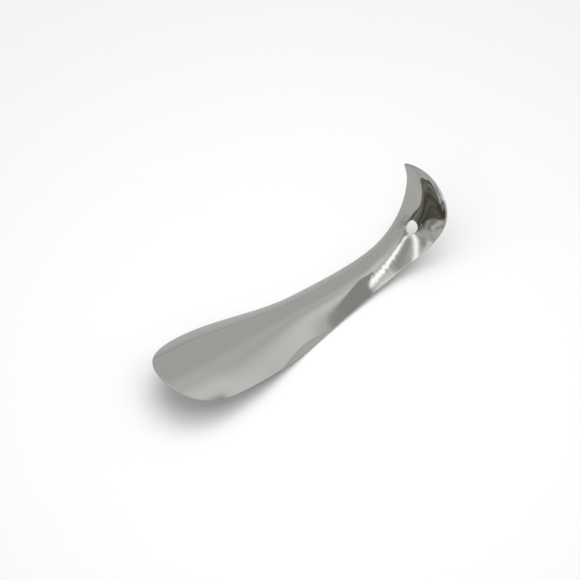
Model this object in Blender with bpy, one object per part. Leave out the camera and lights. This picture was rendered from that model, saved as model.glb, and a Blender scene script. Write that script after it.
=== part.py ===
"""Metal shoehorn with a finger hook: one pressed, polished stainless-steel sheet.

The sheet lies on a table with its rounded back up. X runs from the toe of the blade to the hook,
Y runs across the sheet and Z is up. The toe points towards -X and the hook curls up at +X. The
sheet touches the table with the two edges of its blade, near the middle of its length, and both
ends stand clear of the table. Lengths are in metres.

Positions along the sheet are fractions of its length, from 0 at the toe to 1 at the hook's tip.
"""

import math

import bmesh
import bpy
import numpy as np
from mathutils import Matrix, Vector

# The sheet
SHEET_LENGTH = 0.1812           # along the middle of the back, from the toe to the hook's tip
SHEET_THICKNESS = 0.001

# Side view: a straight blade that slopes down from its raised toe, then one bend that tightens
# steadily into the hook
BLADE_SLOPE = math.radians(-9.4)
BEND_START = 0.418
BEND_FULL = 0.967
BEND_RADIUS = 0.0266            # from BEND_FULL to the tip

# Top view: half-widths, measured straight across
BLADE_PLACE = 0.16
BLADE_HALF_WIDTH = 0.0205
NECK_PLACE = 0.706
NECK_HALF_WIDTH = 0.0095
HOOK_PLACE = 0.896
HOOK_HALF_WIDTH = 0.0141
TIP_START = 0.984               # the hook's end is nearly straight across, with rounded corners
TOE_SQUARENESS = 2.2            # exponent of the rounded end: 2 is an ellipse, more is squarer
TIP_SQUARENESS = 2.2

# Cross-section: a parabola whose edges lie as far down as those of an arc with these radii. It is
# rounded upwards along the blade and neck, and its edges turn up again in the hook
BLADE_SECTION_RADIUS = 0.0278
BLADE_SECTION_END = 0.12
NECK_SECTION_RADIUS = 0.0113
NECK_SECTION_PLACE = 0.695
HOOK_SECTION_RADIUS = 0.03
HOOK_SECTION_START = 0.984

# The neck's crown runs on into the hook as a low rounded ridge
RIDGE_HEIGHT = 0.0045
RIDGE_START = 0.8
RIDGE_RISEN = 0.93
RIDGE_FALLING = 0.93
RIDGE_END = 1.01
RIDGE_ROUNDING = 0.1            # share of the half-width over which the ridge's top is rounded

# Hanging hole
HOLE_PLACE = 0.812
HOLE_RADIUS = 0.0032
HOLE_SIDES = 32
CUTTER_LENGTH = 0.012

# Mesh
FACES_ALONG = 46
FACES_ACROSS = 15               # odd, so that a flat face straddles the middle of the sheet
SPINE_STEPS = 2000

# Polished stainless steel
STEEL_COLOUR = (0.62, 0.61, 0.58, 1.0)
STEEL_ROUGHNESS = 0.12


def clear_scene():
    """Remove every object that is already in the scene."""
    for old in list(bpy.data.objects):
        bpy.data.objects.remove(old, do_unlink=True)


def ease(start, end, place):
    """Return how far place has gone from start to end, from 0 to 1, with soft ends."""
    share = np.clip((place - start) / (end - start), 0.0, 1.0)
    return share**2 * (3.0 - 2.0 * share)


def slope(place):
    """Return the sheet's angle above the horizontal, in side view."""
    tightening = (BEND_FULL - BEND_START) * SHEET_LENGTH
    share = np.clip((place - BEND_START) / (BEND_FULL - BEND_START), 0.0, 1.0)
    even_bend = np.clip(place - BEND_FULL, 0.0, 1.0) * SHEET_LENGTH
    bent_length = tightening * (share**3 - share**4 / 2.0) + even_bend
    return BLADE_SLOPE + bent_length / BEND_RADIUS


def spine(place):
    """Return x and z of the line along the middle of the back, starting at the toe."""
    places = np.linspace(0.0, 1.0, SPINE_STEPS + 1)
    middles = (places[1:] + places[:-1]) / 2.0
    step = SHEET_LENGTH / SPINE_STEPS
    x = np.concatenate(([0.0], np.cumsum(np.cos(slope(middles)) * step)))
    z = np.concatenate(([0.0], np.cumsum(np.sin(slope(middles)) * step)))
    return np.interp(place, places, x), np.interp(place, places, z)


def rounded_end(across, squareness):
    """Return how far a rounded end reaches, from 1 at its middle to 0 at the sheet's edges."""
    inside = np.clip(1.0 - np.abs(across) ** squareness, 0.0, 1.0)
    return inside ** (1.0 / squareness)


def half_width(place):
    """Return half the sheet's width, measured straight across, leaving out its rounded ends."""
    to_neck = ease(BLADE_PLACE, NECK_PLACE, place)
    to_hook = ease(NECK_PLACE, HOOK_PLACE, place)
    width = BLADE_HALF_WIDTH + (NECK_HALF_WIDTH - BLADE_HALF_WIDTH) * to_neck
    return width + (HOOK_HALF_WIDTH - NECK_HALF_WIDTH) * to_hook


def section_curvature(place):
    """Return the curvature of the arc that sets the edges: positive where they turn down."""
    blade = 1.0 / BLADE_SECTION_RADIUS
    neck = 1.0 / NECK_SECTION_RADIUS
    hook = -1.0 / HOOK_SECTION_RADIUS
    to_neck = ease(BLADE_SECTION_END, NECK_SECTION_PLACE, place)
    to_hook = ease(NECK_SECTION_PLACE, HOOK_SECTION_START, place)
    return blade + (neck - blade) * to_neck + (hook - neck) * to_hook


def edge_drop(place):
    """Return how far the sheet's long edges lie below the middle of its back."""
    width = half_width(place)
    curvature = section_curvature(place)
    return curvature * width**2 / (1.0 + math.sqrt(1.0 - (curvature * width) ** 2))


def hook_ridge(place, across):
    """Return how far the hook's ridge stands up: highest in the middle, nothing at the edges."""
    risen = ease(RIDGE_START, RIDGE_RISEN, place) * (1.0 - ease(RIDGE_FALLING, RIDGE_END, place))
    outwards = math.hypot(across, RIDGE_ROUNDING) - RIDGE_ROUNDING
    edge = math.hypot(1.0, RIDGE_ROUNDING) - RIDGE_ROUNDING
    return RIDGE_HEIGHT * risen * (1.0 - outwards / edge)


def sheet_point(along, across):
    """Return a point on the sheet's back.

    along runs from 0 on the toe's rounded edge to 1 on the hook's end, and across from -1 to 1
    between the two long edges.
    """
    toe = BLADE_PLACE * (1.0 - rounded_end(across, TOE_SQUARENESS))
    tip = TIP_START + (1.0 - TIP_START) * rounded_end(across, TIP_SQUARENESS)
    place = toe + (tip - toe) * along
    y = across * half_width(place)
    drop = edge_drop(place) * across**2 - hook_ridge(place, across)
    x, z = spine(place)
    angle = slope(place)
    return Vector((x + drop * math.sin(angle), y, z - drop * math.cos(angle)))


def across_shares():
    """Return the columns' places across the sheet, closer together towards the long edges."""
    turns = np.linspace(-math.pi / 2.0, math.pi / 2.0, FACES_ACROSS + 1)
    shares = np.sign(turns) * np.abs(np.sin(turns)) ** (2.0 / TIP_SQUARENESS)
    return [float(share) for share in shares]


def add_skin(mesh_data):
    """Build the sheet's back as a grid of four-sided faces that ends on the rounded ends."""
    mesh = bmesh.new()
    columns = across_shares()
    rows = []
    for along in np.linspace(0.0, 1.0, FACES_ALONG + 1):
        rows.append([mesh.verts.new(sheet_point(along, across)) for across in columns])

    for row, next_row in zip(rows, rows[1:]):
        for column in range(FACES_ACROSS):
            face = mesh.faces.new((row[column], next_row[column], next_row[column + 1], row[column + 1]))
            face.smooth = True
    mesh.to_mesh(mesh_data)
    mesh.free()


def add_hole_cutter(collection):
    """Add the round punch for the hanging hole, square to the sheet."""
    x, z = spine(HOLE_PLACE)
    tilt = Matrix.Rotation(-slope(HOLE_PLACE), 4, "Y")
    place = Matrix.Translation((x, 0.0, z))
    mesh = bmesh.new()
    bmesh.ops.create_cone(
        mesh,
        cap_ends=True,
        segments=HOLE_SIDES,
        radius1=HOLE_RADIUS,
        radius2=HOLE_RADIUS,
        depth=CUTTER_LENGTH,
        matrix=place @ tilt,
    )
    data = bpy.data.meshes.new("hole_cutter")
    mesh.to_mesh(data)
    mesh.free()
    cutter = bpy.data.objects.new("hole_cutter", data)
    cutter.hide_render = True
    cutter.display_type = "WIRE"
    collection.objects.link(cutter)
    return cutter


def make_steel():
    """Return the polished stainless-steel material."""
    steel = bpy.data.materials.new("polished_stainless_steel")
    steel.use_nodes = True
    shader = steel.node_tree.nodes["Principled BSDF"]
    shader.inputs["Base Color"].default_value = STEEL_COLOUR
    shader.inputs["Metallic"].default_value = 1.0
    shader.inputs["Roughness"].default_value = STEEL_ROUGHNESS
    return steel


def add_shoehorn(collection, cutter):
    """Add the sheet: the back, given its thickness downwards and pierced by the hole."""
    data = bpy.data.meshes.new("shoehorn")
    add_skin(data)
    data.materials.append(make_steel())
    shoehorn = bpy.data.objects.new("shoehorn", data)
    collection.objects.link(shoehorn)

    thicken = shoehorn.modifiers.new("thickness", "SOLIDIFY")
    thicken.thickness = SHEET_THICKNESS
    thicken.offset = -1.0
    thicken.use_even_offset = True

    punch = shoehorn.modifiers.new("hanging_hole", "BOOLEAN")
    punch.operation = "DIFFERENCE"
    punch.solver = "EXACT"
    punch.object = cutter
    return shoehorn


def set_on_table(shoehorn, frame):
    """Move the frame so that the sheet is centred over the origin and its lowest point is at 0."""
    bpy.context.view_layer.update()
    solid = shoehorn.evaluated_get(bpy.context.evaluated_depsgraph_get()).to_mesh()
    xs = [vertex.co.x for vertex in solid.vertices]
    lowest = min(vertex.co.z for vertex in solid.vertices)
    frame.location = (-(min(xs) + max(xs)) / 2.0, 0.0, -lowest)
    shoehorn.evaluated_get(bpy.context.evaluated_depsgraph_get()).to_mesh_clear()
    bpy.context.view_layer.update()


def main():
    clear_scene()
    collection = bpy.context.scene.collection
    frame = bpy.data.objects.new("lying_frame", None)
    collection.objects.link(frame)
    cutter = add_hole_cutter(collection)
    shoehorn = add_shoehorn(collection, cutter)
    cutter.parent = frame
    shoehorn.parent = frame
    set_on_table(shoehorn, frame)


main()
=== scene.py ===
"""Polished steel shoehorn with a finger hook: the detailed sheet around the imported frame.

The object is one pressed sheet of stainless steel, so one fine mesh replaces the frame's only node.
It follows the same formulas as the frame: positions along the sheet are fractions of its length, from
0 at the toe to 1 at the hook's tip, and lengths are in metres.
"""

import math

import bpy
import numpy as np
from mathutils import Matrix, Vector

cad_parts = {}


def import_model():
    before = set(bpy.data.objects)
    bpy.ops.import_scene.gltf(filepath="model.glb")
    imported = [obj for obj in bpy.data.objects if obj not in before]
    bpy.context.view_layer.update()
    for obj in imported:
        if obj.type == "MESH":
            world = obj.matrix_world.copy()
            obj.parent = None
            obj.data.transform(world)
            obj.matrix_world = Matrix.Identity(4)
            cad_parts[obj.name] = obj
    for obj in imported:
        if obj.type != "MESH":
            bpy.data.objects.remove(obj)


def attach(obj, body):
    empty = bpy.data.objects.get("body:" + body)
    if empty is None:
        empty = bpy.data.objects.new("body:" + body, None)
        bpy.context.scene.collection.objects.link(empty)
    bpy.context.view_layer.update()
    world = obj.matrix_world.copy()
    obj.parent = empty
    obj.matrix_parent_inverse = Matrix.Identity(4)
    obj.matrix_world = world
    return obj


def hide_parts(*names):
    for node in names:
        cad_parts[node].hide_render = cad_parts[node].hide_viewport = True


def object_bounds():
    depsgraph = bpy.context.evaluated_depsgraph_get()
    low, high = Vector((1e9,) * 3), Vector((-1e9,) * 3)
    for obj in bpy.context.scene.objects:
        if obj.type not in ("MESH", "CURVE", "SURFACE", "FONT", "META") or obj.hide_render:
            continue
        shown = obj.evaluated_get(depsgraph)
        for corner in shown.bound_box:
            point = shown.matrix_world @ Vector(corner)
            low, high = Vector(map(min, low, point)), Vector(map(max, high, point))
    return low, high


# The sheet, as in the frame
SHEET_LENGTH = 0.1812
SHEET_THICKNESS = 0.001
BLADE_SLOPE = math.radians(-9.4)
BEND_START = 0.418
BEND_FULL = 0.967
BEND_RADIUS = 0.0266
BLADE_PLACE = 0.16
BLADE_HALF_WIDTH = 0.0205
NECK_PLACE = 0.706
NECK_HALF_WIDTH = 0.0095
HOOK_PLACE = 0.896
HOOK_HALF_WIDTH = 0.0141
TIP_START = 0.984
TOE_SQUARENESS = 2.2
TIP_SQUARENESS = 2.2
BLADE_SECTION_RADIUS = 0.0278
BLADE_SECTION_END = 0.12
NECK_SECTION_RADIUS = 0.0113
NECK_SECTION_PLACE = 0.695
HOOK_SECTION_RADIUS = 0.03
HOOK_SECTION_START = 0.984

# The neck's crown runs on into the hook as a low rounded ridge
RIDGE_HEIGHT = 0.0045
RIDGE_START = 0.8
RIDGE_RISEN = 0.93
RIDGE_FALLING = 0.93
RIDGE_END = 1.01
RIDGE_ROUNDING = 0.1            # share of the half-width over which the ridge's top is rounded

# Hanging hole
HOLE_PLACE = 0.812
HOLE_RADIUS = 0.0032

# Faint ripples that pressing left along the neck's near side, from start to end along the sheet
RIPPLE_HEIGHT = 0.000010
RIPPLE_LENGTH = 0.0025
RIPPLE_SECOND_WAVE = 0.62       # turns of the second wave for each turn of the first
RIPPLE_START = 0.63
RIPPLE_FULL = 0.68
RIPPLE_FALLING = 0.70
RIPPLE_END = 0.79
RIPPLE_INNER = 0.1              # shares of the half-width between which the ripples grow outwards
RIPPLE_OUTER = 0.5

# Rolled edges, and the mesh
EDGE_RADIUS = 0.00025
EDGE_STEPS = 4
HOLE_ZONE = 0.008               # the grid lines bend round the hole out to this distance
TOE_STRAIGHTENING = 3           # powers that set how soon the rows straighten behind the rounded
TIP_STRAIGHTENING = 8           # ends: a higher power is sooner
ROWS_BLADE = 310                # rows of faces before, beside and beyond the hole
ROWS_HOLE = 20
ROWS_HOOK = 72
COLUMNS_HOLE = 20               # columns of faces at the hole, and on each side of it
COLUMNS_SIDE = 34
SPINE_STEPS = 4000
SPINE_MARGIN = 0.02             # the middle line runs on this far past both ends
NORMAL_STEP = 0.0001            # distance between the points that give a normal

# Camera: azimuths are measured from +X, anticlockwise seen from above
CAMERA_AZIMUTH = math.radians(-128.0)
CAMERA_ELEVATION = math.radians(54.2)
CAMERA_DISTANCE = 1.1786
CAMERA_LENS = 162.1
CAMERA_SENSOR = 36.0
AIM_RIGHT = -0.0033             # from the middle of the object's box, across and up the picture
AIM_UP = 0.0009

# Steel: the cloudiness varies its colour and roughness, and the buffing lines run along the sheet
STEEL_COLOUR = (0.63, 0.622, 0.59, 1.0)
STEEL_COLOUR_WARM = (0.645, 0.63, 0.6, 1.0)
CLOUD_SCALE = 90.0
CLOUD_ROUGHNESS_LOW = 0.05
CLOUD_ROUGHNESS_HIGH = 0.09
LINE_SCALE = 160.0
LINE_STRETCH = (1.0, 24.0, 1.0)
LINE_ROUGHNESS = 0.04           # added to the cloudiness
LINE_HEIGHT = 0.35              # as a share of the cloudiness's height
EDGE_ROUGHNESS = 0.14
BUMP_STRENGTH = 0.05
BUMP_DISTANCE = 0.0002

# Table: matt white paper, which the steel mirrors darker than the camera sees it
FLOOR_COLOUR = (0.86, 0.86, 0.865, 1.0)
MIRRORED_FLOOR_COLOUR = (0.47, 0.47, 0.47, 1.0)
FLOOR_ROUGHNESS = 0.9
FLOOR_SPECULAR = 0.1
FLOOR_SIZE = 6.0

# Lights: a broad one overhead, and a lamp close above the sheet that casts the soft shadow
KEY_AZIMUTH = 60.0
KEY_ELEVATION = 78.0
KEY_DISTANCE = 1.6
KEY_SIZE = 1.1
KEY_POWER = 8.0
LAMP_AZIMUTH = -112.0
LAMP_ELEVATION = 79.0
LAMP_DISTANCE = 0.27
LAMP_SIZE = 0.24
LAMP_POWER = 0.3

# A small dark card that stands over the neck, facing the hook, and glows as a painted dark reflection
# that
# only the steel shows: where its plane meets the table, how far it leans back, and its corners as
# distances across the sheet and above the table
DARK_CARD_FOOT = 0.057
DARK_CARD_LEAN = 15.0
DARK_CARD_OUTLINE = (
    (-0.007, 0.010),
    (0.004, 0.010),
    (0.017, 0.005),
    (0.020, 0.008),
    (0.0195, 0.022),
    (0.026, 0.026),
    (0.021, 0.032),
    (0.012, 0.0347),
    (0.007, 0.0343),
    (0.002, 0.032),
    (0.000, 0.022),
    (-0.007, 0.014),
)
# The card's glow is a painted dark reflection in the hook, standing in for the neck and blade mirrored
# there; the streaks stand in for their buffing lines
PAINTED_REFLECTION_COLOUR = (1.0, 0.99, 0.82, 1.0)
PAINTED_REFLECTION_LEVEL = 0.09          # brightness at the middle of the sheet
PAINTED_REFLECTION_PALE_LEVEL = 0.2      # brightness from PAINTED_REFLECTION_PALE_FROM outwards
PAINTED_REFLECTION_PALE_FROM = 0.018
STREAK_SCALE = 480.0
STREAK_STRETCH = (0.1, 1.0, 0.1)
STREAK_DARK = 0.55              # factors on the brightness
STREAK_PALE = 1.5

# Brightness of the studio's walls in the steel, and of the background in the picture
WHITE = (1.0, 1.0, 1.0, 1.0)
WALL_LEVEL = 0.525
BACKGROUND_LEVEL = 0.9

# Soft-edged cards on the studio's walls, which the steel mirrors. They lie over one another, the last
# on top. Each has its brightness, then angles in degrees as seen from the shoehorn: the middle's
# azimuth from the camera's own, its elevation, the roll from level, half-length, half-width, softness
STUDIO_CARDS = (
    (0.67, -2.0, 74.0, 7.0, 43.0, 36.0, 14.0),      # paler ceiling
    (1.55, 16.0, 72.0, -26.0, 49.0, 6.0, 3.5),      # bright arch overhead
    (0.40, 2.0, 52.0, -21.0, 43.0, 10.0, 8.5),      # grey wall inside the arch
    (0.85, 16.0, 4.0, 13.0, 45.0, 18.5, 4.2),       # pale wall under it
    (1.05, 52.7, 12.0, 99.0, 30.0, 4.0, 12.0),      # foot of the arch
    (0.78, 87.0, 47.0, 79.0, 54.0, 7.2, 7.0),       # pale strip outside the arch
    (0.34, 69.4, 28.6, 74.0, 44.0, 6.0, 0.6),       # dark post beside it
    (0.39, -71.0, 21.0, 9.0, 48.0, 6.4, 5.0),       # grey wall on the left
    (2.00, -29.6, 37.0, -16.0, 48.0, 2.0, 8.0),     # bright sill of the arch
    (0.17, -74.0, 2.0, 100.0, 19.0, 20.0, 7.0),     # dark corner on the left
    (0.68, -52.0, 22.5, 78.0, 2.3, 7.7, 6.4),       # pale patch above the dark corner
    (0.42, -93.0, 47.0, 76.0, 14.5, 2.9, 4.4),      # grey strip at the far left
)


def ease(start, end, place):
    """Return how far place has gone from start to end, from 0 to 1, with soft ends."""
    share = np.clip((place - start) / (end - start), 0.0, 1.0)
    return share**2 * (3.0 - 2.0 * share)


# ---------------------------------------------------------------------------- shape of the sheet


def slope(place):
    """Return the sheet's angle above the horizontal, in side view."""
    tightening = (BEND_FULL - BEND_START) * SHEET_LENGTH
    share = np.clip((place - BEND_START) / (BEND_FULL - BEND_START), 0.0, 1.0)
    even_bend = np.clip(place - BEND_FULL, 0.0, 1.0) * SHEET_LENGTH
    bent_length = tightening * (share**3 - share**4 / 2.0) + even_bend
    return BLADE_SLOPE + bent_length / BEND_RADIUS


def spine(place):
    """Return x and z of the line along the middle of the back."""
    places = np.linspace(-SPINE_MARGIN, 1.0 + SPINE_MARGIN, SPINE_STEPS + 1)
    middles = (places[1:] + places[:-1]) / 2.0
    step = SHEET_LENGTH * (places[1] - places[0])
    x = np.concatenate(([0.0], np.cumsum(np.cos(slope(middles)) * step)))
    z = np.concatenate(([0.0], np.cumsum(np.sin(slope(middles)) * step)))
    return np.interp(place, places, x), np.interp(place, places, z)


def rounded_end(across, squareness):
    """Return how far a rounded end reaches, from 1 at its middle to 0 at the sheet's edges."""
    inside = np.clip(1.0 - np.abs(across) ** squareness, 0.0, 1.0)
    return inside ** (1.0 / squareness)


def half_width(place):
    """Return half the sheet's width, measured straight across, leaving out its rounded ends."""
    to_neck = ease(BLADE_PLACE, NECK_PLACE, place)
    to_hook = ease(NECK_PLACE, HOOK_PLACE, place)
    width = BLADE_HALF_WIDTH + (NECK_HALF_WIDTH - BLADE_HALF_WIDTH) * to_neck
    return width + (HOOK_HALF_WIDTH - NECK_HALF_WIDTH) * to_hook


def section_curvature(place):
    """Return the curvature of the arc that sets the edges: positive where they turn down."""
    blade = 1.0 / BLADE_SECTION_RADIUS
    neck = 1.0 / NECK_SECTION_RADIUS
    hook = -1.0 / HOOK_SECTION_RADIUS
    to_neck = ease(BLADE_SECTION_END, NECK_SECTION_PLACE, place)
    to_hook = ease(NECK_SECTION_PLACE, HOOK_SECTION_START, place)
    return blade + (neck - blade) * to_neck + (hook - neck) * to_hook


def edge_drop(place):
    """Return how far the sheet's long edges lie below the middle of its back."""
    width = half_width(place)
    curvature = section_curvature(place)
    return curvature * width**2 / (1.0 + np.sqrt(1.0 - (curvature * width) ** 2))


def hook_ridge(place, y):
    """Return how far the hook's ridge stands up: highest in the middle, nothing at the edges."""
    risen = ease(RIDGE_START, RIDGE_RISEN, place)
    fallen = ease(RIDGE_FALLING, RIDGE_END, place)
    outwards = np.hypot(y / half_width(place), RIDGE_ROUNDING) - RIDGE_ROUNDING
    edge = math.hypot(1.0, RIDGE_ROUNDING) - RIDGE_ROUNDING
    return RIDGE_HEIGHT * risen * (1.0 - fallen) * (1.0 - outwards / edge)


def ripples(place, y):
    """Return how far the ripples on the neck's near side stand up."""
    risen = ease(RIPPLE_START, RIPPLE_FULL, place)
    fallen = ease(RIPPLE_FALLING, RIPPLE_END, place)
    beside = ease(RIPPLE_INNER, RIPPLE_OUTER, -y / half_width(place))
    turns = 2.0 * math.pi * place * SHEET_LENGTH / RIPPLE_LENGTH
    waves = np.sin(turns) + np.sin(RIPPLE_SECOND_WAVE * turns)
    return RIPPLE_HEIGHT * risen * (1.0 - fallen) * beside * waves


def back(place, y):
    """Return points on the sheet's back."""
    drop = edge_drop(place) * (y / half_width(place)) ** 2 - hook_ridge(place, y) - ripples(place, y)
    x, z = spine(place)
    angle = slope(place)
    return np.stack((x + drop * np.sin(angle), y, z - drop * np.cos(angle)), axis=-1)


def back_normals(place, y):
    """Return unit normals of the sheet's back, pointing up out of the blade."""
    step = NORMAL_STEP / SHEET_LENGTH
    along = back(place + step, y) - back(place - step, y)
    across = back(place, y + NORMAL_STEP) - back(place, y - NORMAL_STEP)
    normals = np.cross(along, across)
    return normals / np.linalg.norm(normals, axis=-1, keepdims=True)


# ---------------------------------------------------------------------------- grid on the sheet


def grid_rows():
    """Return the rows' places along the sheet, with one just before and one just after the hole."""
    hole_start = HOLE_PLACE - HOLE_RADIUS / SHEET_LENGTH
    hole_end = HOLE_PLACE + HOLE_RADIUS / SHEET_LENGTH
    blade = np.linspace(0.0, hole_start, ROWS_BLADE + 1)
    hole = np.linspace(hole_start, hole_end, ROWS_HOLE + 1)
    hook = np.linspace(hole_end, 1.0, ROWS_HOOK + 1)
    return np.concatenate((blade[:-1], hole, hook[1:]))


def grid_columns():
    """Return the columns' places across, from -1 to 1, with one on each side of the hole."""
    hole_side = HOLE_RADIUS / half_width(HOLE_PLACE)
    hole_turn = math.asin(hole_side ** (TIP_SQUARENESS / 2.0))
    hole = np.linspace(-hole_side, hole_side, COLUMNS_HOLE + 1)
    turns = np.linspace(hole_turn, math.pi / 2.0, COLUMNS_SIDE + 1)[1:]
    side = np.sin(turns) ** (2.0 / TIP_SQUARENESS)
    return np.concatenate((-side[::-1], hole, side))


def sheet_places(along, across, inset):
    """Return places and distances across for a grid whose outline and hole stand back by inset."""
    # Squares about the hole's middle turn into circles close to the hole
    hole_width = half_width(HOLE_PLACE)
    u = (along - HOLE_PLACE) * SHEET_LENGTH
    v = across * hole_width
    square = np.maximum(np.maximum(np.abs(u), np.abs(v)), HOLE_RADIUS / 2.0)
    distance = np.maximum(np.hypot(u, v), HOLE_RADIUS / 2.0)
    near = 1.0 - ease(HOLE_RADIUS, HOLE_ZONE, square)
    scale = 1.0 + near * ((square + inset) / distance - 1.0)

    # The rows follow the rounded ends and straighten away from them
    ends = inset / SHEET_LENGTH
    toe = ends + (BLADE_PLACE - ends) * (1.0 - rounded_end(across, TOE_SQUARENESS))
    tip = TIP_START + (1.0 - ends - TIP_START) * rounded_end(across, TIP_SQUARENESS)
    outline = toe * (1.0 - along) ** TOE_STRAIGHTENING - (1.0 - tip) * along**TIP_STRAIGHTENING
    place = HOLE_PLACE + u * scale / SHEET_LENGTH + (1.0 - near) * outline

    # The inset lies in the sheet, which slopes at its edges, and the width is measured straight across
    width = half_width(place)
    edge_cosine = 1.0 / np.hypot(1.0, 2.0 * edge_drop(place) / width)
    width = (width - inset * edge_cosine) * (1.0 - near) + hole_width * near
    return place, across * scale * width


# ---------------------------------------------------------------------------- mesh of the sheet


def rim_profile():
    """Return the rounded edge's steps from the back to the underside: share outwards, and depth."""
    turns = np.linspace(0.0, math.pi / 2.0, EDGE_STEPS + 1)
    upper = [(math.sin(turn), EDGE_RADIUS * (1.0 - math.cos(turn))) for turn in turns]
    lower = [(out, SHEET_THICKNESS - depth) for out, depth in reversed(upper)]
    return upper + lower


def outer_loop(rows, columns):
    """Return the grid cells' corners round the outline, anticlockwise seen from above."""
    loop = [(row, 0) for row in range(rows - 1)]
    loop += [(rows - 1, column) for column in range(columns - 1)]
    loop += [(row, columns - 1) for row in range(rows - 1, 0, -1)]
    loop += [(0, column) for column in range(columns - 1, 0, -1)]
    return loop


def hole_loop():
    """Return the grid cells' corners round the hole, clockwise seen from above."""
    first_row, last_row = ROWS_BLADE, ROWS_BLADE + ROWS_HOLE
    first_column, last_column = COLUMNS_SIDE, COLUMNS_SIDE + COLUMNS_HOLE
    loop = [(row, last_column) for row in range(first_row, last_row)]
    loop += [(last_row, column) for column in range(last_column, first_column, -1)]
    loop += [(row, first_column) for row in range(last_row, first_row, -1)]
    loop += [(first_row, column) for column in range(first_column, last_column)]
    return loop


def in_hole(row, column, margin):
    """Tell whether a grid corner (margin 1) or cell (margin 0) lies inside the hole."""
    in_rows = ROWS_BLADE + margin <= row < ROWS_BLADE + ROWS_HOLE
    in_columns = COLUMNS_SIDE + margin <= column < COLUMNS_SIDE + COLUMNS_HOLE
    return in_rows and in_columns


def side_faces(side, rows, columns):
    """Return the back's faces, anticlockwise seen from above, from its grid of vertex numbers."""
    faces = []
    for row in range(rows - 1):
        for column in range(columns - 1):
            if in_hole(row, column, 0):
                continue
            corners = [(row, column), (row + 1, column), (row + 1, column + 1), (row, column + 1)]
            faces.append([side[corner] for corner in corners])
    return faces


def rim_faces(rings):
    """Return the faces between the rings of a rim, which run from the back to the underside."""
    faces = []
    for upper, lower in zip(rings, rings[1:]):
        for index in range(len(upper)):
            after = (index + 1) % len(upper)
            faces.append([upper[index], lower[index], lower[after], upper[after]])
    return faces


def build_sheet():
    """Return the sheet's vertices, faces and, for each vertex, its place on the sheet."""
    along, across = np.meshgrid(grid_rows(), grid_columns(), indexing="ij")
    rows, columns = along.shape
    place, y = sheet_places(along, across, EDGE_RADIUS)
    inner = back(place, y)
    normals = back_normals(place, y)
    outline_place, outline_y = sheet_places(along, across, 0.0)
    outwards = back(outline_place, outline_y) - inner

    points = []
    marks = []

    def add_point(row, column, out, depth, rim):
        spot = inner[row, column] + out * outwards[row, column] - depth * normals[row, column]
        points.append(spot)
        marks.append((place[row, column] * SHEET_LENGTH, y[row, column], rim))
        return len(points) - 1

    sides = []
    for depth in (0.0, SHEET_THICKNESS):
        side = {}
        for row in range(rows):
            for column in range(columns):
                if not in_hole(row, column, 1):
                    side[row, column] = add_point(row, column, 0.0, depth, 0.0)
        sides.append(side)

    faces = side_faces(sides[0], rows, columns)
    faces += [face[::-1] for face in side_faces(sides[1], rows, columns)]
    for loop in (outer_loop(rows, columns), hole_loop()):
        rings = [[sides[0][corner] for corner in loop]]
        for out, depth in rim_profile()[1:-1]:
            rings.append([add_point(row, column, out, depth, 1.0) for row, column in loop])
        rings.append([sides[1][corner] for corner in loop])
        faces += rim_faces(rings)
    return np.array(points), faces, np.array(marks)


def add_sheet(steel, low, high):
    """Add the shoehorn, centred in the frame's box and standing on the same table."""
    points, faces, marks = build_sheet()
    points[:, 0] += (low.x + high.x) / 2.0 - (points[:, 0].min() + points[:, 0].max()) / 2.0
    points[:, 2] += low.z - points[:, 2].min()
    data = bpy.data.meshes.new("shoehorn_sheet")
    data.from_pydata(points.tolist(), [], faces)
    spots = data.attributes.new("sheet_place", "FLOAT_VECTOR", "POINT")
    spots.data.foreach_set("vector", marks.ravel())
    data.shade_smooth()
    data.materials.append(steel)
    data.validate()
    sheet = bpy.data.objects.new("shoehorn_sheet", data)
    bpy.context.scene.collection.objects.link(sheet)
    return sheet


# ---------------------------------------------------------------------------- shader helpers


def add_node(tree, kind, inputs=None, **settings):
    """Add a shader node, set its inputs to values or join them to other nodes' outputs."""
    node = tree.nodes.new(kind)
    for name, value in settings.items():
        setattr(node, name, value)
    for socket, value in (inputs or {}).items():
        if isinstance(value, bpy.types.NodeSocket):
            tree.links.new(value, node.inputs[socket])
        else:
            node.inputs[socket].default_value = value
    return node


def calculate(tree, operation, *values):
    """Add a math node and return its result."""
    return add_node(tree, "ShaderNodeMath", dict(enumerate(values)), operation=operation).outputs[0]


def fade(tree, value, start, end, low=0.0, high=1.0):
    """Turn value into low at start and high at end, with soft ends."""
    inputs = {"Value": value, "From Min": start, "From Max": end, "To Min": low, "To Max": high}
    node = add_node(tree, "ShaderNodeMapRange", inputs, interpolation_type="SMOOTHSTEP")
    return node.outputs["Result"]


def mix_values(tree, share, first, second):
    """Return first where share is 0 and second where it is 1."""
    node = add_node(tree, "ShaderNodeMix", {0: share, 2: first, 3: second}, data_type="FLOAT")
    return node.outputs[0]


def noise(tree, position, scale, detail=2.0, roughness=0.5):
    """Return a noise value from 0 to 1."""
    inputs = {"Vector": position, "Scale": scale, "Detail": detail, "Roughness": roughness}
    return add_node(tree, "ShaderNodeTexNoise", inputs).outputs[0]


# ---------------------------------------------------------------------------- material


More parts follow.
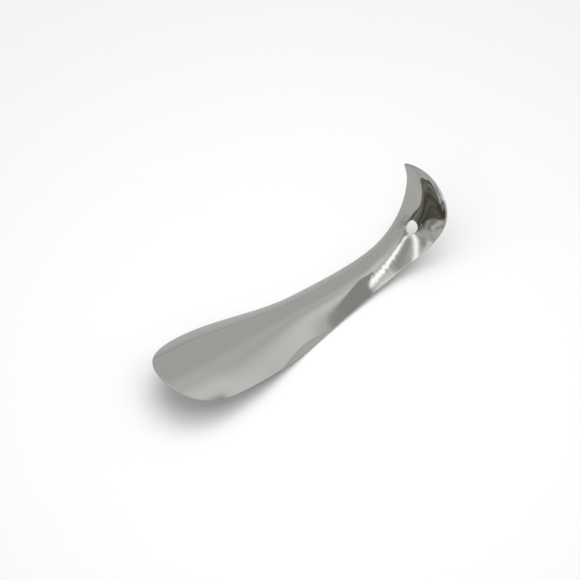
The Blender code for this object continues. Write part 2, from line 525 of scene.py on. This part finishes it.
def make_steel():
    """Return polished stainless steel: faint cloudiness, fine buffing lines and a duller cut edge."""
    steel = bpy.data.materials.new("polished_stainless_steel")
    steel.use_nodes = True
    tree = steel.node_tree
    shader = tree.nodes["Principled BSDF"]
    spot = add_node(tree, "ShaderNodeAttribute", attribute_name="sheet_place")
    parts = add_node(tree, "ShaderNodeSeparateXYZ", {0: spot.outputs["Vector"]})
    rim = parts.outputs["Z"]

    cloud = noise(tree, spot.outputs["Vector"], CLOUD_SCALE, 3.0)
    stretch = add_node(
        tree,
        "ShaderNodeVectorMath",
        {0: spot.outputs["Vector"], 1: LINE_STRETCH},
        operation="MULTIPLY",
    )
    lines = noise(tree, stretch.outputs[0], LINE_SCALE, 4.0, 0.65)

    dull = fade(tree, cloud, 0.35, 0.75, CLOUD_ROUGHNESS_LOW, CLOUD_ROUGHNESS_HIGH)
    dull = calculate(tree, "ADD", dull, fade(tree, lines, 0.45, 0.8, 0.0, LINE_ROUGHNESS))
    dull = mix_values(tree, rim, dull, EDGE_ROUGHNESS)
    tree.links.new(dull, shader.inputs["Roughness"])

    tint = add_node(
        tree,
        "ShaderNodeMix",
        {0: fade(tree, cloud, 0.3, 0.7), 6: STEEL_COLOUR, 7: STEEL_COLOUR_WARM},
        data_type="RGBA",
    )
    tree.links.new(tint.outputs[2], shader.inputs["Base Color"])
    shader.inputs["Metallic"].default_value = 1.0

    height = calculate(tree, "ADD", calculate(tree, "MULTIPLY", lines, LINE_HEIGHT), cloud)
    bump = add_node(
        tree,
        "ShaderNodeBump",
        {"Strength": BUMP_STRENGTH, "Distance": BUMP_DISTANCE, "Height": height},
    )
    tree.links.new(bump.outputs["Normal"], shader.inputs["Normal"])
    return steel


def make_floor_material():
    """Return matt white paper, clear from below so that it doesn't hide the underside."""
    paper = bpy.data.materials.new("white_paper")
    paper.use_nodes = True
    tree = paper.node_tree
    shader = tree.nodes["Principled BSDF"]
    mirrored = add_node(tree, "ShaderNodeLightPath").outputs["Is Glossy Ray"]
    colour = add_node(
        tree,
        "ShaderNodeMix",
        {0: mirrored, 6: FLOOR_COLOUR, 7: MIRRORED_FLOOR_COLOUR},
        data_type="RGBA",
    )
    tree.links.new(colour.outputs[2], shader.inputs["Base Color"])
    shader.inputs["Roughness"].default_value = FLOOR_ROUGHNESS
    shader.inputs["Specular IOR Level"].default_value = FLOOR_SPECULAR
    side = add_node(tree, "ShaderNodeNewGeometry")
    clear = add_node(tree, "ShaderNodeBsdfTransparent")
    mixed = add_node(
        tree,
        "ShaderNodeMixShader",
        {0: side.outputs["Backfacing"], 1: shader.outputs[0], 2: clear.outputs[0]},
    )
    tree.links.new(mixed.outputs[0], tree.nodes["Material Output"].inputs["Surface"])
    return paper


# ---------------------------------------------------------------------------- studio


def add_floor(low):
    """Add the white table that the shoehorn lies on."""
    half = FLOOR_SIZE / 2.0
    corners = [(-half, -half), (half, -half), (half, half), (-half, half)]
    data = bpy.data.meshes.new("floor")
    data.from_pydata([(x, y, low.z) for x, y in corners], [], [(0, 1, 2, 3)])
    data.materials.append(make_floor_material())
    floor = bpy.data.objects.new("floor", data)
    bpy.context.scene.collection.objects.link(floor)


def make_painted_reflection_glow():
    """Return the dark card's glow, a painted dark reflection for the hook: upright streaks, paler
    outwards, and clear from behind.
    """
    reflection_glow = bpy.data.materials.new("painted_hook_reflection")
    reflection_glow.use_nodes = True
    tree = reflection_glow.node_tree
    tree.nodes.clear()
    place = add_node(tree, "ShaderNodeTexCoord").outputs["Object"]
    across = add_node(tree, "ShaderNodeSeparateXYZ", {0: place}).outputs["Y"]
    stretch = add_node(
        tree,
        "ShaderNodeVectorMath",
        {0: place, 1: STREAK_STRETCH},
        operation="MULTIPLY",
    )
    streaks = noise(tree, stretch.outputs[0], STREAK_SCALE, 3.0, 0.6)
    factor = fade(tree, streaks, 0.35, 0.65, STREAK_DARK, STREAK_PALE)
    level = fade(tree, across, 0.0, PAINTED_REFLECTION_PALE_FROM, PAINTED_REFLECTION_LEVEL, PAINTED_REFLECTION_PALE_LEVEL)
    level = calculate(tree, "MULTIPLY", level, factor)
    glow = add_node(tree, "ShaderNodeEmission", {"Color": PAINTED_REFLECTION_COLOUR, "Strength": level})
    clear = add_node(tree, "ShaderNodeBsdfTransparent")
    side = add_node(tree, "ShaderNodeNewGeometry").outputs["Backfacing"]
    mixed = add_node(tree, "ShaderNodeMixShader", {0: side, 1: glow.outputs[0], 2: clear.outputs[0]})
    output = add_node(tree, "ShaderNodeOutputMaterial")
    tree.links.new(mixed.outputs[0], output.inputs["Surface"])
    return reflection_glow


def add_painted_reflection_card(low):
    """Add the small dark card that stands over the neck: a painted dark reflection that only the steel
    shows.
    """
    lean = math.tan(math.radians(DARK_CARD_LEAN))
    corners = [(DARK_CARD_FOOT - up * lean, y, low.z + up) for y, up in DARK_CARD_OUTLINE]
    data = bpy.data.meshes.new("painted_reflection_card")
    data.from_pydata(corners, [], [tuple(range(len(corners)))])
    data.materials.append(make_painted_reflection_glow())
    card = bpy.data.objects.new("painted_reflection_card", data)
    card.visible_camera = False
    card.visible_diffuse = False
    card.visible_shadow = False
    bpy.context.scene.collection.objects.link(card)


def direction(azimuth, elevation):
    """Return the unit vector towards an azimuth and elevation, in degrees."""
    turn, rise = math.radians(azimuth), math.radians(elevation)
    return Vector((math.cos(turn) * math.cos(rise), math.sin(turn) * math.cos(rise), math.sin(rise)))


def add_area_light(name, place, target, size, power):
    """Add a square light that faces the target and that neither the camera nor the steel shows."""
    data = bpy.data.lights.new(name, "AREA")
    data.shape = "SQUARE"
    data.size = size
    data.energy = power
    light = bpy.data.objects.new(name, data)
    light.location = place
    light.rotation_mode = "QUATERNION"
    light.rotation_quaternion = (target - place).to_track_quat("-Z", "Y")
    light.visible_camera = False
    light.visible_glossy = False
    bpy.context.scene.collection.objects.link(light)


def add_lights(centre):
    """Add the broad overhead light and the lamp close above the sheet."""
    place = centre + KEY_DISTANCE * direction(KEY_AZIMUTH, KEY_ELEVATION)
    add_area_light("key_light", place, centre, KEY_SIZE, KEY_POWER)
    place = centre + LAMP_DISTANCE * direction(LAMP_AZIMUTH, LAMP_ELEVATION)
    add_area_light("near_lamp", place, centre, LAMP_SIZE, LAMP_POWER)


def soft_card(tree, ray, card):
    """Return where a ray meets one soft-edged card, from 0 beside it to 1 on it.

    The card is a box in longitude and latitude, in a frame turned so that +X points at its middle.
    """
    azimuth, elevation, roll, half_length, half_width, soft = card
    turn = (math.radians(roll), -math.radians(elevation), math.radians(azimuth) + CAMERA_AZIMUTH)
    turned = add_node(
        tree,
        "ShaderNodeVectorRotate",
        {"Vector": ray, "Rotation": turn},
        rotation_type="EULER_XYZ",
        invert=True,
    )
    parts = add_node(tree, "ShaderNodeSeparateXYZ", {0: turned.outputs[0]})
    longitude = calculate(tree, "ARCTAN2", parts.outputs["Y"], parts.outputs["X"])
    latitude = calculate(tree, "ARCSINE", parts.outputs["Z"])
    masks = []
    for angle, half in ((longitude, half_length), (latitude, half_width)):
        angle = calculate(tree, "ABSOLUTE", calculate(tree, "DEGREES", angle))
        masks.append(fade(tree, angle, half + soft, half - soft))
    return calculate(tree, "MULTIPLY", *masks)


def make_surroundings():
    """Make the studio round the object: grey walls with lighter and darker cards on them."""
    world = bpy.data.worlds.new("studio")
    bpy.context.scene.world = world
    world.use_nodes = True
    tree = world.node_tree
    tree.nodes.clear()
    ray = add_node(tree, "ShaderNodeTexCoord").outputs["Generated"]
    level = WALL_LEVEL
    for brightness, *card in STUDIO_CARDS:
        level = mix_values(tree, soft_card(tree, ray, card), level, brightness)

    shown = add_node(tree, "ShaderNodeLightPath").outputs["Is Camera Ray"]
    level = mix_values(tree, shown, level, BACKGROUND_LEVEL)
    background = add_node(tree, "ShaderNodeBackground", {"Color": WHITE, "Strength": level})
    output = add_node(tree, "ShaderNodeOutputWorld")
    tree.links.new(background.outputs[0], output.inputs["Surface"])


def add_camera(centre):
    """Add the camera, looking down at the toe's side of the object."""
    back_direction = direction(math.degrees(CAMERA_AZIMUTH), math.degrees(CAMERA_ELEVATION))
    turn = (-back_direction).to_track_quat("-Z", "Y")
    right = turn @ Vector((1.0, 0.0, 0.0))
    up = turn @ Vector((0.0, 1.0, 0.0))
    data = bpy.data.cameras.new("camera")
    data.lens = CAMERA_LENS
    data.sensor_width = CAMERA_SENSOR
    camera = bpy.data.objects.new("camera", data)
    aim = centre + AIM_RIGHT * right + AIM_UP * up
    camera.location = aim + CAMERA_DISTANCE * back_direction
    camera.rotation_mode = "QUATERNION"
    camera.rotation_quaternion = turn
    bpy.context.scene.collection.objects.link(camera)
    bpy.context.scene.camera = camera


def main():
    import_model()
    cad_low, cad_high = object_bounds()
    centre = (cad_low + cad_high) / 2.0

    sheet = add_sheet(make_steel(), cad_low, cad_high)
    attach(sheet, "root")
    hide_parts("shoehorn")

    add_floor(cad_low)
    # the painted dark reflection in the hook
    add_painted_reflection_card(cad_low)
    add_lights(centre)
    make_surroundings()
    add_camera(centre)
    bpy.context.scene.view_settings.view_transform = "Standard"


main()
